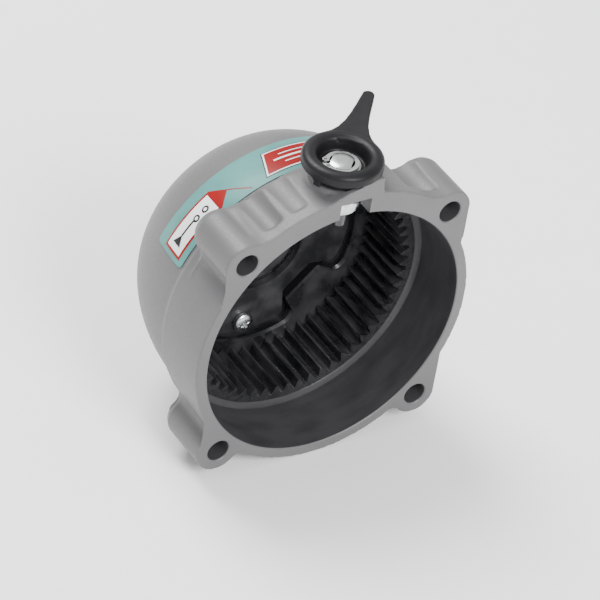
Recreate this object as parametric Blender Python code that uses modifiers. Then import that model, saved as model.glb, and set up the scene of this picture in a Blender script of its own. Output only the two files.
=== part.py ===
"""Gear-end housing of a small planetary winch, with its free-spool clutch lever.

The bore axis is Y. The flange face lies in the plane y = 0 and looks towards -Y, the closed
end of the casting is at +Y, and the clutch lever stands on top, at +Z. The origin is the
centre of the flange face on the bore axis. Sizes are in millimetres until mm() makes metres.
"""

import math

import bmesh
import bpy
from mathutils import Matrix, Vector

PART_NAME = "winch_gear_housing"

# ---- driving dimensions, millimetres ------------------------------------------------------
GAP = 0.3                       # clearance between pieces that touch

BORE_R = 53.0                   # open bore behind the flange face
BORE_DEPTH = 25.0               # where the ring gear begins
FLANGE_R = 57.5
FRONT_END_R = 56.5              # the front cylinder drafts down to this
FRONT_END_DEPTH = 27.0
DOME_START_R = 55.1
DOME_START_DEPTH = 29.2
DOME_CROWN_R = 26.0             # flat disc in the middle of the closed end
DOME_DEPTH = 76.9

LUG_PITCH = 42.9                # half of the bolt square
LUG_R = 8.7
LUG_LENGTH = 25.0
BOLT_HOLE_R = 4.4
LUG_FILLET = 4.5
CROWN_FILLET = 15.0             # fillet between a top lug and the raised crown
CROWN_R = 61.8                  # raised crown between the two top lugs
PLATE_THICKNESS = 4.5           # flange plate in front of the crown's flutes
FACE_STOCK = 3.0                # stock in front of the face, machined off

SHAFT_DEPTH = 12.5              # depth of the shift shaft's axis behind the face
DRUM_R = 8.5
DRUM_Z = (50.7, 55.5)
NECK_R = 6.0
NECK_TOP_Z = 64.0
STEM_R = 5.0
STEM_FLAT = 3.8                 # half width across the two flats
STEM_TOP_Z = 69.1
STEM_DOME = 0.4
SLOT_HALF_WIDTH = 6.4
SLOT_TOP_Z = 59.4
SEAT_Z = 63.0                   # top of the saddle boss, where the lever sits
SEAT_R = 11.0
SEAT_CUT_R = 11.2               # spot face round the lever's hub, which thins the flange plate

PIN_R = 2.6
PIN_OFFSET = (-0.8, -4.6)       # from the shaft's axis, at rest
PIN_Z = (44.8, 53.5)

LEVER_R = 15.1
LEVER_HUB_R = 10.6
SKIRT_Z = 67.6
RIM_CREST_Z = 72.5
WELL_R = 9.4
WELL_FLOOR_Z = 66.9
POINTER_ANGLE = math.radians(44.5)
POINTER_LENGTH = 40.0
POINTER_TILT = math.radians(3.0)
POINTER_THICKNESS = 3.4
TAB_ANGLE = math.radians(201.0)
TAB_Z = 64.9

TOOTH_COUNT = 58
MODULE = 1.5875                 # 16 diametral pitch
GEAR_ROOT_R = 48.0
GEAR_TIP_R = 44.45
GEAR_OUTER_R = 50.0
GEAR_DEPTH = (25.0, 50.0)

PLATE_DEPTH = (52.0, 55.0)
PLATE_R = 37.1
PLATE_VALLEY = 25.5             # distance of the four valleys from the axis
PLATE_ARM_NECK = 12.9
PLATE_ARM_HALF = 13.9
PLATE_HOLE_R = 17.9
POCKET_MARGIN = 3.7
SCREW_PITCH_R = 32.8
SCREW_ANGLES = (83.5, 263.5)    # degrees, on the upper and the lower arm
SCREW_HEAD_R = 4.1
SCREW_SHANK_R = 2.0

BEARING_DEPTH = (55.3, 67.3)
BEARING_OUTER_R = 21.0
BEARING_INNER_R = 10.0
BALL_PITCH_R = 15.5
BALL_R = 3.0
BALL_COUNT = 8
OUTER_LAND_R = 17.6
INNER_LAND_R = 13.4

LABEL_DEPTH = (29.6, 48.8)
LABEL_ANGLES = (23.5, 156.5)    # degrees from +X, over the top

SEGMENTS = 72                   # facets round a large turned piece
SMALL_SEGMENTS = 36

COLORS = {
    "cast_grey": ((0.30, 0.30, 0.305), 0.55, 0.35),
    "gear_black": ((0.020, 0.020, 0.023), 0.35, 0.8),
    "plate_black": ((0.035, 0.034, 0.037), 0.45, 0.7),
    "zinc": ((0.72, 0.75, 0.74), 0.25, 1.0),
    "bearing_steel": ((0.45, 0.46, 0.47), 0.25, 1.0),
    "lever_black": ((0.022, 0.021, 0.023), 0.45, 0.0),
    "rubber": ((0.012, 0.012, 0.012), 0.7, 0.0),
    "bronze": ((0.45, 0.30, 0.12), 0.4, 1.0),
    "label_teal": ((0.37, 0.60, 0.58), 0.35, 0.0),
}


def mm(*values):
    """Millimetres to metres: a number for one value, a Vector for three."""
    if len(values) == 1:
        return values[0] * 0.001
    return Vector(values) * 0.001


# ---- scene, collections and materials -----------------------------------------------------

def clear_scene():
    for obj in list(bpy.data.objects):
        bpy.data.objects.remove(obj, do_unlink=True)


def make_collection(name):
    collection = bpy.data.collections.new(name)
    bpy.context.scene.collection.children.link(collection)
    return collection


clear_scene()
PARTS = make_collection(PART_NAME)
TOOLS = make_collection(PART_NAME + "_cutters")


def material(name):
    """The Principled material of one colour entry, made once."""
    found = bpy.data.materials.get(name)
    if found:
        return found
    color, roughness, metallic = COLORS[name]
    made = bpy.data.materials.new(name)
    made.use_nodes = True
    shader = made.node_tree.nodes["Principled BSDF"]
    shader.inputs["Base Color"].default_value = (*color, 1.0)
    shader.inputs["Roughness"].default_value = roughness
    shader.inputs["Metallic"].default_value = metallic
    made.diffuse_color = (*color, 1.0)
    return made


def add_object(name, mesh, color):
    """Link a mesh as a part, or as a cutter when it has no colour."""
    obj = bpy.data.objects.new(name, mesh)
    if color:
        PARTS.objects.link(obj)
        mesh.materials.append(material(color))
        mesh.shade_smooth()
        mesh.set_sharp_from_angle(angle=math.radians(35))
    else:
        TOOLS.objects.link(obj)
        obj.hide_render = True
        obj.display_type = "WIRE"
    return obj


# ---- shape helpers ------------------------------------------------------------------------

AXES = {
    "Z": Matrix.Identity(4),
    "Y": Matrix.Rotation(-math.pi / 2, 4, "X"),
}


def turned(name, profile, color=None, axis="Z", centre=(0, 0, 0), segments=SEGMENTS, closed=False):
    """Turn (radius, height) points about an axis with a Screw modifier.

    The outer side runs from the highest point to the lowest. A closed profile makes a ring.
    """
    mesh = bpy.data.meshes.new(name)
    form = bmesh.new()
    verts = [form.verts.new((mm(r), 0.0, mm(h))) for r, h in profile]
    for first, second in zip(verts, verts[1:]):
        form.edges.new((first, second))
    if closed:
        form.edges.new((verts[-1], verts[0]))
    form.to_mesh(mesh)
    form.free()
    obj = add_object(name, mesh, color)
    obj.matrix_world = Matrix.Translation(mm(*centre)) @ AXES[axis]
    screw = obj.modifiers.new("turn", "SCREW")
    screw.axis = "Z"
    screw.steps = segments
    screw.render_steps = segments
    screw.use_merge_vertices = True
    screw.merge_threshold = 0.000001
    screw.use_smooth_shade = bool(color)
    return obj


def cylinder(name, radius, low, high, color=None, axis="Z", centre=(0, 0, 0), segments=SMALL_SEGMENTS):
    """A plain round bar between two heights along its axis."""
    profile = [(0, high), (radius, high), (radius, low), (0, low)]
    return turned(name, profile, color, axis, centre, segments)


def ring(name, inner, outer, low, high, color=None, axis="Z", centre=(0, 0, 0), segments=SEGMENTS):
    """A plain ring of rectangular section."""
    profile = [(inner, high), (outer, high), (outer, low), (inner, low)]
    return turned(name, profile, color, axis, centre, segments, closed=True)


def box(name, low, high, color=None):
    """A block between two corners."""
    mesh = bpy.data.meshes.new(name)
    form = bmesh.new()
    bmesh.ops.create_cube(form, size=1.0)
    low, high = mm(*low), mm(*high)
    size = high - low
    bmesh.ops.scale(form, vec=size, verts=form.verts)
    bmesh.ops.translate(form, vec=(low + high) / 2, verts=form.verts)
    form.to_mesh(mesh)
    form.free()
    return add_object(name, mesh, color)


def slab(name, outlines, low, high, color=None, upright=False):
    """Extrude flat outlines, the later ones being holes in the first.

    An upright slab has its outline in X and Z and its depth along Y. Otherwise the outline is
    in X and Y and the slab lies flat.
    """
    curve = bpy.data.curves.new(name, "CURVE")
    curve.dimensions = "2D"
    curve.fill_mode = "BOTH"
    curve.extrude = mm((high - low) / 2)
    for outline in outlines:
        spline = curve.splines.new("POLY")
        spline.points.add(len(outline) - 1)
        for point, (x, y) in zip(spline.points, outline):
            point.co = (mm(x), mm(y), 0.0, 1.0)
        spline.use_cyclic_u = True
    source = bpy.data.objects.new(name + "_outline", curve)
    TOOLS.objects.link(source)
    evaluated = source.evaluated_get(bpy.context.evaluated_depsgraph_get())
    mesh = bpy.data.meshes.new_from_object(evaluated)
    bpy.data.objects.remove(source, do_unlink=True)
    mesh.name = name
    mesh.materials.clear()
    form = bmesh.new()
    form.from_mesh(mesh)
    bmesh.ops.remove_doubles(form, verts=form.verts, dist=0.000001)
    middle = mm((low + high) / 2)
    if upright:
        place = Matrix.Translation((0, middle, 0)) @ Matrix.Rotation(math.pi / 2, 4, "X")
    else:
        place = Matrix.Translation((0, 0, middle))
    bmesh.ops.transform(form, matrix=place, verts=form.verts)
    bmesh.ops.recalc_face_normals(form, faces=form.faces)
    form.to_mesh(mesh)
    form.free()
    return add_object(name, mesh, color)


def boolean(target, tool, operation="DIFFERENCE"):
    """Cut a tool from a part, or join it to the part with UNION."""
    step = target.modifiers.new(tool.name, "BOOLEAN")
    step.operation = operation
    step.solver = "EXACT"
    step.object = tool


def weld(target):
    """Merge the points that a run of Booleans leaves on top of each other."""
    count = sum(step.type == "WELD" for step in target.modifiers)
    step = target.modifiers.new(f"weld_{count + 1}", "WELD")
    step.merge_threshold = 0.00002


def arc(centre, radius, start, end, count):
    """Points along an arc, angles in radians, both ends included."""
    points = []
    for index in range(count + 1):
        angle = start + (end - start) * index / count
        points.append((centre[0] + radius * math.cos(angle), centre[1] + radius * math.sin(angle)))
    return points


# ---- the casting's outline ----------------------------------------------------------------

def fillet_to_lug(ring_r, fillet):
    """Angles of the fillet between a ring about the axis and a lug beside it.

    Returns the fillet centre's distance from the axis, its angle from the lug's own direction,
    and the angle at the lug's centre between that direction and the fillet's centre.
    """
    distance = math.hypot(LUG_PITCH, LUG_PITCH)
    far = ring_r + fillet
    near = LUG_R + fillet
    at_axis = math.acos((far ** 2 + distance ** 2 - near ** 2) / (2 * far * distance))
    at_lug = math.acos((near ** 2 + distance ** 2 - far ** 2) / (2 * near * distance))
    return far, at_axis, math.pi - at_lug


def lug_side(direction, side, ring_r, fillet):
    """One side of a lug's outline, from the ring to the lug's tip.

    side is -1 for the clockwise side and +1 for the other one.
    """
    far, at_axis, at_lug = fillet_to_lug(ring_r, fillet)
    angle = direction + side * at_axis
    centre = (far * math.cos(angle), far * math.sin(angle))
    lug = (math.hypot(LUG_PITCH, LUG_PITCH) * math.cos(direction),
           math.hypot(LUG_PITCH, LUG_PITCH) * math.sin(direction))
    to_lug = math.atan2(lug[1] - centre[1], lug[0] - centre[0])
    start = angle + math.pi
    sweep = math.remainder(to_lug - start, 2 * math.pi)
    points = arc(centre, fillet, start, start + sweep, 6)
    points += arc(lug, LUG_R, direction + side * at_lug, direction, 8)[1:]
    return points


def front_outline():
    """Closed outline of the flange section in X and Z, with the four lugs and the crown.

    Between the lower lugs it dips just under the front cylinder, which makes the surface there.
    """
    side = (FLANGE_R - 0.4, LUG_FILLET)
    crown = (CROWN_R, CROWN_FILLET)
    side_reach = fillet_to_lug(*side)[1]
    inner = FRONT_END_R - 1.5
    points = []
    for number in range(4):
        direction = math.radians(45 + 90 * number)
        before = crown if number == 1 else side
        after = crown if number == 0 else side
        points += lug_side(direction, -1, *before)
        points += lug_side(direction, +1, *after)[::-1][1:]
        if number == 0:
            start = direction + fillet_to_lug(*crown)[1]
            points += arc((0, 0), CROWN_R, start, math.pi - start, 24)[1:-1]
        else:
            start = direction + side_reach
            points += arc((0, 0), inner, start, start + math.pi / 2 - 2 * side_reach, 12)
    return points


def stop_ear_outline():
    """Raised part of the flange plate in front of the saddle: ramp, level run and stop ear."""
    foot = 57.0
    ramp = [(-11.4, 60.6), (-6.7, 62.7), (-1.7, 64.6), (5.6, 64.6), (5.6, 66.9), (5.9, 67.2)]
    return [(-11.4, foot)] + ramp + [(10.8, 67.2), (11.1, 66.9), (11.7, foot)]


# ---- the casting --------------------------------------------------------------------------

def dome_profile():
    """Outer profile of the closed end, from the crown of the dome to its front edge."""
    points = []
    steps = 9
    for index in range(steps + 1):
        angle = math.pi / 2 * (1 - index / steps)
        radius = DOME_CROWN_R + (DOME_START_R - DOME_CROWN_R) * math.cos(angle)
        depth = DOME_START_DEPTH + (DOME_DEPTH - DOME_START_DEPTH) * math.sin(angle)
        points.append((radius, depth))
    return points


def plate_outline(margin=0.0):
    """Four-armed outline of the retainer plate, grown by a margin."""
    corner = 5.0
    points = []
    half = PLATE_ARM_HALF + margin
    neck = PLATE_ARM_NECK + margin * 0.4
    reach = PLATE_R + margin
    shoulder = math.sqrt((reach - corner) ** 2 - (half - corner) ** 2)
    valley = (PLATE_VALLEY + margin) * math.sqrt(2)
    for quarter in range(4):
        turn = Matrix.Rotation(quarter * math.pi / 2, 2)
        tip = math.atan2(half - corner, shoulder)
        side = [(valley - neck, -neck)]
        side += arc((shoulder, -(half - corner)), corner, -math.pi / 2, -tip, 5)
        side += arc((0, 0), reach, -tip, tip, 8)[1:-1]
        side += arc((shoulder, half - corner), corner, tip, math.pi / 2, 5)
        side += [(valley - neck, neck)]
        points += [tuple(turn @ Vector(point)) for point in side]
    return points


def screw_positions():
    """Centres of the plate screws, in X and Z."""
    for angle in map(math.radians, SCREW_ANGLES):
        yield SCREW_PITCH_R * math.cos(angle), SCREW_PITCH_R * math.sin(angle)


def gear_housing():
    """The casting: flange, lugs, crown, saddle boss and dome, then every bore and pocket."""
    profile = dome_profile()
    profile += [(FRONT_END_R - 0.9, FRONT_END_DEPTH + 0.3), (FRONT_END_R, FRONT_END_DEPTH)]
    profile += [(FLANGE_R, 0), (FLANGE_R, -FACE_STOCK), (0, -FACE_STOCK)]
    profile.insert(0, (0, DOME_DEPTH))
    housing = turned("gear_housing", profile, "cast_grey", axis="Y")

    boolean(housing, slab("flange_section", [front_outline()], -FACE_STOCK - 1, LUG_LENGTH, upright=True), "UNION")
    boolean(housing, slab("stop_ear", [stop_ear_outline()], -FACE_STOCK - 2, PLATE_THICKNESS, upright=True), "UNION")
    shaft = (0, SHAFT_DEPTH, 0)
    boolean(housing, cylinder("saddle_boss", SEAT_R, 52, SEAT_Z + 0.6, centre=shaft), "UNION")

    boolean(housing, box("face_trim", (-90, -30, -90), (90, 0, 90)))
    boolean(housing, cylinder("seat_face", SEAT_CUT_R, SEAT_Z, 80, centre=shaft, segments=40))
    weld(housing)

    flutes = [("valley_right", 33.3, 57.3, 8.7), ("flute_1", -39.6, 54.4, 3.4),
              ("flute_2", -32.4, 57.6, 6.0), ("flute_3", -22.9, 65.4, 8.6)]
    for name, x, z, radius in flutes:
        tool = cylinder(name, radius, PLATE_THICKNESS + 0.5, 40, axis="Y", centre=(x, 0, z))
        boolean(housing, tool)

    cavity = [(0, 71), (16, 71), (16, BEARING_DEPTH[1] + GAP), (BEARING_OUTER_R + GAP, BEARING_DEPTH[1] + GAP),
              (BEARING_OUTER_R + GAP, GEAR_DEPTH[1] + 1), (GEAR_OUTER_R + GAP, GEAR_DEPTH[1] + GAP),
              (GEAR_OUTER_R + GAP, BORE_DEPTH), (BORE_R, BORE_DEPTH), (BORE_R, -5), (0, -5)]
    boolean(housing, turned("cavity", cavity, axis="Y"))
    pocket = slab("plate_pocket", [plate_outline(POCKET_MARGIN)], 45, PLATE_DEPTH[1] + GAP, upright=True)
    boolean(housing, pocket)

    for index, (x, z) in enumerate([(1, 1), (-1, 1), (-1, -1), (1, -1)]):
        centre = (x * LUG_PITCH, 0, z * LUG_PITCH)
        boolean(housing, cylinder(f"bolt_hole_{index + 1}", BOLT_HOLE_R, -5, 40, axis="Y", centre=centre,
                                  segments=32))
    slot = box("shaft_slot", (-SLOT_HALF_WIDTH, -5, 46), (SLOT_HALF_WIDTH, SHAFT_DEPTH + 1, SLOT_TOP_Z))
    boolean(housing, slot)
    shoulder = SLOT_TOP_Z + 0.15
    steps = [(0, 70), (8.3, 70), (8.3, 61.2), (7.8, 61.2), (7.8, shoulder),
             (DRUM_R + 0.4, shoulder), (DRUM_R + 0.4, 44), (0, 44)]
    boolean(housing, turned("shaft_bore", steps, centre=shaft, segments=SMALL_SEGMENTS))
    weld(housing)
    for index, (x, z) in enumerate(screw_positions()):
        tool = cylinder(f"screw_hole_{index + 1}", SCREW_SHANK_R + GAP, 51, 64, axis="Y", centre=(x, 0, z),
                        segments=14)
        boolean(housing, tool)
    return housing


# ---- gear, plate and screws ---------------------------------------------------------------

def ring_gear():
    """Internal gear: straight-flanked teeth on an even pitch, one space at the bottom."""
    pitch = 2 * math.pi / TOOTH_COUNT
    space = [(GEAR_ROOT_R, -0.10), (GEAR_ROOT_R, 0.10), (46.4, 0.27), (GEAR_TIP_R, 0.42)]
    teeth = []
    for index in range(TOOTH_COUNT):
        middle = -math.pi / 2 + index * pitch
        for radius, share in [(GEAR_TIP_R, -0.42), (46.4, -0.27)] + space:
            angle = middle + share * pitch
            teeth.append((radius * math.cos(angle), radius * math.sin(angle)))
    outside = arc((0, 0), GEAR_OUTER_R, 0, 2 * math.pi, SEGMENTS)[:-1]
    return slab("ring_gear", [outside, teeth], *GEAR_DEPTH, "gear_black", upright=True)


def retainer_plate():
    """Four-armed plate that holds the bearing, with a hole for each screw."""
    holes = [arc((0, 0), PLATE_HOLE_R, 0, 2 * math.pi, SMALL_SEGMENTS)[:-1]]
    for centre in screw_positions():
        holes.append(arc(centre, SCREW_SHANK_R + GAP, 0, 2 * math.pi, 16)[:-1])
    return slab("retainer_plate", [plate_outline()] + holes, *PLATE_DEPTH, "plate_black", upright=True)


def plate_screw(index, x, z):
    """Pan-head machine screw with a cross recess, head towards the flange."""
    seat = PLATE_DEPTH[0] - GAP
    top = seat - 2.2
    profile = [(0, 63), (SCREW_SHANK_R, 62.4), (SCREW_SHANK_R, seat), (SCREW_HEAD_R, seat),
               (SCREW_HEAD_R, seat - 1.1), (SCREW_HEAD_R - 0.7, top + 0.3), (SCREW_HEAD_R - 1.9, top), (0, top)]
    screw = turned(f"plate_screw_{index}", profile, "zinc", axis="Y", centre=(x, 0, z), segments=20)
    arm, half, depth = 2.0, 0.45, 1.2
    long_arm = box(f"recess_{index}_a", (x - arm, top - 1, z - half), (x + arm, top + depth, z + half))
    cross_arm = box(f"recess_{index}_b", (x - half, top - 1, z - arm), (x + half, top + depth, z + arm))
    boolean(screw, long_arm)
    boolean(screw, cross_arm)
    return screw


# ---- bearing behind the plate -------------------------------------------------------------

def bearing_rings():
    """Outer and inner ring, each with its ball groove."""
    near, far = BEARING_DEPTH
    middle = (near + far) / 2
    groove_r = BALL_R + 0.25

    def groove(land, side):
        reach = math.acos(abs(land - BALL_PITCH_R) / groove_r)
        start = 0 if side > 0 else math.pi
        return arc((BALL_PITCH_R, middle), groove_r, start - reach, start + reach, 6)

    outer = [(BEARING_OUTER_R, far), (BEARING_OUTER_R, near), (OUTER_LAND_R, near)]
    outer += groove(OUTER_LAND_R, 1) + [(OUTER_LAND_R, far)]
    turned("bearing_outer_ring", outer, "bearing_steel", axis="Y", segments=SMALL_SEGMENTS, closed=True)
    inner = [(INNER_LAND_R, far)] + groove(INNER_LAND_R, -1) + [(INNER_LAND_R, near)]
    inner += [(BEARING_INNER_R, near), (BEARING_INNER_R, far)]
    turned("bearing_inner_ring", inner, "bearing_steel", axis="Y", segments=SMALL_SEGMENTS, closed=True)


def bearing_shields():
    """Thin shields that close both sides of the bearing."""
    near, far = BEARING_DEPTH
    inner, outer = INNER_LAND_R + 0.3, OUTER_LAND_R - 0.3
    ring("bearing_shield_front", inner, outer, near + 0.4, near + 0.9, "plate_black", "Y",
         segments=SMALL_SEGMENTS)
    ring("bearing_shield_rear", inner, outer, far - 0.9, far - 0.4, "plate_black", "Y",
         segments=SMALL_SEGMENTS)


def bearing_balls_and_cage():
    """Balls on their pitch circle, in a cage ring with a round window for each."""
    near, far = BEARING_DEPTH
    middle = (near + far) / 2
    cage = ring("bearing_cage", 14.4, 16.6, middle - 4.4, middle + 4.4, "bronze", "Y",
                segments=SMALL_SEGMENTS)
    for index in range(BALL_COUNT):
        angle = 2 * math.pi * index / BALL_COUNT
        radial = Vector((math.cos(angle), 0, math.sin(angle)))
        window = cylinder(f"cage_window_{index + 1}", BALL_R + 0.3, 10, 21, segments=16)
        turn = Vector((0, 0, 1)).rotation_difference(radial).to_matrix().to_4x4()
        window.matrix_world = Matrix.Translation(mm(0, middle, 0)) @ turn
        boolean(cage, window)
        mesh = bpy.data.meshes.new(f"bearing_ball_{index + 1}")
        form = bmesh.new()
        bmesh.ops.create_uvsphere(form, u_segments=12, v_segments=6, radius=mm(BALL_R))
        form.to_mesh(mesh)
        form.free()
        ball = add_object(f"bearing_ball_{index + 1}", mesh, "zinc")
        ball.location = radial * mm(BALL_PITCH_R) + mm(0, middle, 0)


# ---- shift shaft and its fittings ---------------------------------------------------------

def shift_shaft():
    """Drum, neck and two-flat stem with the circlip groove, and the eccentric pin's hole."""
    centre = (0, SHAFT_DEPTH, 0)
    profile = [(0, STEM_TOP_Z + STEM_DOME), (3.4, STEM_TOP_Z + 0.25), (STEM_R, STEM_TOP_Z - 0.3),
               (STEM_R, 68.75), (4.4, 68.75), (4.4, 67.95), (STEM_R, 67.95),
               (STEM_R, NECK_TOP_Z), (NECK_R, NECK_TOP_Z), (NECK_R, DRUM_Z[1]), (DRUM_R - 0.4, DRUM_Z[1]),
               (DRUM_R, DRUM_Z[1] - 0.4), (DRUM_R, DRUM_Z[0] + 0.4), (DRUM_R - 0.4, DRUM_Z[0]), (0, DRUM_Z[0])]
    shaft = turned("shift_shaft", profile, "zinc", centre=centre, segments=SMALL_SEGMENTS)
    for side in (-1, 1):
        flat = box(f"stem_flat_{side + 2}", (-10, min(side * STEM_FLAT, side * 9), NECK_TOP_Z),
                   (10, max(side * STEM_FLAT, side * 9), 75))
        flat.matrix_world = Matrix.Translation(mm(*centre)) @ Matrix.Rotation(POINTER_ANGLE, 4, "Z")
        boolean(shaft, flat)
    pin_centre = (PIN_OFFSET[0], SHAFT_DEPTH + PIN_OFFSET[1], 0)
    boolean(shaft, cylinder("pin_hole", PIN_R + 0.15, 45, PIN_Z[1] + GAP, centre=pin_centre, segments=32))
    low, high = PIN_Z
    pin = [(0, high), (PIN_R, high), (PIN_R, low + 0.5), (PIN_R - 0.5, low), (0, low)]
    turned("shift_pin", pin, "zinc", centre=pin_centre, segments=32)


def shaft_fittings():
    """Flanged bush, wave spring and O-ring round the shaft's neck."""
    centre = (0, SHAFT_DEPTH, 0)
    inner = NECK_R + 0.1
    bush = [(inner, 61.0), (7.5, 61.0), (7.5, 59.1), (8.5, 59.1), (8.5, 58.3), (inner, 58.3)]
    turned("shaft_bush", bush, "bronze", centre=centre, segments=SMALL_SEGMENTS, closed=True)

    section = arc((7.15, 62.05), 0.8, 0, -2 * math.pi, 8)[:-1]
    turned("shaft_o_ring", section, "rubber", centre=centre, segments=SMALL_SEGMENTS, closed=True)

    mesh = bpy.data.meshes.new("shaft_wave_spring")
    form = bmesh.new()
    waves, height, thickness = 3, 0.85, 0.35
    middle = (DRUM_Z[1] + 58.3) / 2
    loops = []
    for index in range(SMALL_SEGMENTS):
        angle = 2 * math.pi * index / SMALL_SEGMENTS
        lift = middle + height * math.cos(waves * angle)
        loop = []
        for radius, side in ((6.5, -1), (8.3, -1), (8.3, 1), (6.5, 1)):
            place = mm(radius * math.cos(angle), radius * math.sin(angle), lift + side * thickness / 2)
            loop.append(form.verts.new(place))
        loops.append(loop)
    for index, loop in enumerate(loops):
        following = loops[(index + 1) % SMALL_SEGMENTS]
        for corner in range(4):
            after = (corner + 1) % 4
            form.faces.new((loop[corner], following[corner], following[after], loop[after]))
    bmesh.ops.recalc_face_normals(form, faces=form.faces)
    form.to_mesh(mesh)
    form.free()
    spring = add_object("shaft_wave_spring", mesh, "bearing_steel")
    spring.location = mm(*centre)


def lever_circlip():
    """External circlip: an open ring with two pierced lugs, on the side away from the pointer."""
    centre = (0, SHAFT_DEPTH, 0)
    opening = math.radians(163)
    body = ring("lever_circlip", 4.65, 6.2, 68.0, 68.65, "zinc", centre=centre, segments=SMALL_SEGMENTS)
    spread = math.radians(19)
    for index, side in enumerate((-1, 1)):
        angle = opening + side * spread
        place = (5.9 * math.cos(angle), SHAFT_DEPTH + 5.9 * math.sin(angle), 0)
        lug = cylinder(f"circlip_lug_{index + 1}", 1.25, 68.0, 68.65, centre=place, segments=20)
        boolean(body, lug, "UNION")
    mouth = box("circlip_mouth", (3.0, -0.7, 67), (9.0, 0.7, 70))
    mouth.matrix_world = Matrix.Translation(mm(*centre)) @ Matrix.Rotation(opening, 4, "Z")
    boolean(body, mouth)
    for index, side in enumerate((-1, 1)):
        angle = opening + side * spread
        place = (6.05 * math.cos(angle), SHAFT_DEPTH + 6.05 * math.sin(angle), 0)
        boolean(body, cylinder(f"circlip_eye_{index + 1}", 0.55, 67, 70, centre=place, segments=16))


# ---- clutch lever -------------------------------------------------------------------------

def pointer_outline():
    """Plan of the pointer along +X, with concave flanks that spread into the ring."""
    tip_r = 2.3
    flank = [(10.5, 9.6), (13.0, 7.5), (16.0, 5.8), (20.0, 4.5), (25.0, 3.6), (31.0, 2.9)]
    tip = arc((POINTER_LENGTH - tip_r, 0), tip_r, -math.radians(80), math.radians(80), 8)
    lower = [(x, -y) for x, y in flank]
    return lower + tip + flank[::-1]


def clutch_lever():
    """Ring with a deep well, hub with a two-flat hole, raised pointer and stop tab."""
    centre = (0, SHAFT_DEPTH, 0)
    crest_r = (LEVER_R + WELL_R) / 2
    half = LEVER_R - crest_r
    rim = []
    for index in range(8):
        angle = math.pi * (1 - index / 7)
        rim.append((crest_r + half * math.cos(angle), 70.2 + (RIM_CREST_Z - 70.2) * math.sin(angle)))
    profile = [(0, WELL_FLOOR_Z), (WELL_R - 1.0, WELL_FLOOR_Z), (WELL_R - 0.5, WELL_FLOOR_Z + 0.6)]
    profile += rim
    profile += [(LEVER_R, SKIRT_Z + 0.4), (LEVER_R - 0.4, SKIRT_Z), (LEVER_HUB_R, SKIRT_Z),
                (LEVER_HUB_R, SEAT_Z + GAP), (0, SEAT_Z + GAP)]
    lever = turned("clutch_lever", profile, "lever_black", centre=centre, segments=SMALL_SEGMENTS)

    pointer = slab("pointer", [pointer_outline()], 0, POINTER_THICKNESS)
    turn = Matrix.Rotation(POINTER_ANGLE, 4, "Z") @ Matrix.Rotation(-POINTER_TILT, 4, "Y")
    pointer.matrix_world = Matrix.Translation(mm(0, SHAFT_DEPTH, 68.0)) @ turn
    soften = pointer.modifiers.new("soften", "BEVEL")
    soften.width = mm(1.2)
    soften.segments = 2
    soften.limit_method = "ANGLE"
    soften.angle_limit = math.radians(60)
    boolean(lever, pointer, "UNION")

    tab = box("stop_tab", (12.2, -1.7, TAB_Z), (14.9, 1.7, SKIRT_Z + 1.0))
    tab.matrix_world = Matrix.Translation(mm(*centre)) @ Matrix.Rotation(TAB_ANGLE, 4, "Z")
    boolean(lever, tab, "UNION")

    socket = cylinder("lever_socket", STEM_R + GAP, 62, 75, centre=centre)
    for side in (-1, 1):
        flat = box(f"socket_flat_{side + 2}", (-10, min(side * 4.1, side * 9), NECK_TOP_Z + GAP),
                   (10, max(side * 4.1, side * 9), 76))
        flat.matrix_world = Matrix.Translation(mm(*centre)) @ Matrix.Rotation(POINTER_ANGLE, 4, "Z")
        boolean(socket, flat)
    boolean(lever, socket)
    boolean(lever, cylinder("neck_relief", NECK_R + GAP, 60, NECK_TOP_Z + GAP, centre=centre))
    return lever


# ---- label --------------------------------------------------------------------------------

def side_label():
    """Thin label that follows the dome over the top, between two depths."""
    near, far = LABEL_DEPTH
    stand, thickness = 0.12, 0.2
    steps = 4
    points = []
    for index in range(steps + 1):
        depth = near + (far - near) * index / steps
        share = (depth - DOME_START_DEPTH) / (DOME_DEPTH - DOME_START_DEPTH)
        radius = DOME_CROWN_R + (DOME_START_R - DOME_CROWN_R) * math.sqrt(1 - share ** 2)
        points.append((radius + stand, depth))
    mesh = bpy.data.meshes.new("side_label")
    form = bmesh.new()
    verts = [form.verts.new((mm(r), 0, mm(h))) for r, h in points[::-1]]
    for first, second in zip(verts, verts[1:]):
        form.edges.new((first, second))
    start, end = (math.radians(angle) for angle in LABEL_ANGLES)
    bmesh.ops.rotate(form, cent=(0, 0, 0), matrix=Matrix.Rotation(-end, 3, "Z"), verts=form.verts)
    form.to_mesh(mesh)
    form.free()
    label = add_object("side_label", mesh, "label_teal")
    label.matrix_world = AXES["Y"]
    sweep = label.modifiers.new("sweep", "SCREW")
    sweep.angle = end - start
    sweep.steps = 32
    sweep.render_steps = 32
    sweep.use_merge_vertices = False
    shell = label.modifiers.new("thickness", "SOLIDIFY")
    shell.thickness = mm(thickness)
    shell.offset = 1.0
    return label


gear_housing()
ring_gear()
retainer_plate()
for number, position in enumerate(screw_positions()):
    plate_screw(number + 1, *position)
bearing_rings()
bearing_shields()
bearing_balls_and_cage()
shift_shaft()
shaft_fittings()
ring("lever_washer", STEM_R + 0.3, 7.0, 67.2, 67.75, "zinc", centre=(0, SHAFT_DEPTH, 0), segments=SMALL_SEGMENTS)
lever_circlip()
clutch_lever()
side_label()
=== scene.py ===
"""Looks for the gear-end housing of a small winch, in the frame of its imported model.

+Y runs into the housing from the flange face, +Z is up to the clutch lever. Sizes are in
millimetres until MM makes metres.
"""

import math

import bmesh
import bpy
from mathutils import Matrix, Vector


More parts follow.
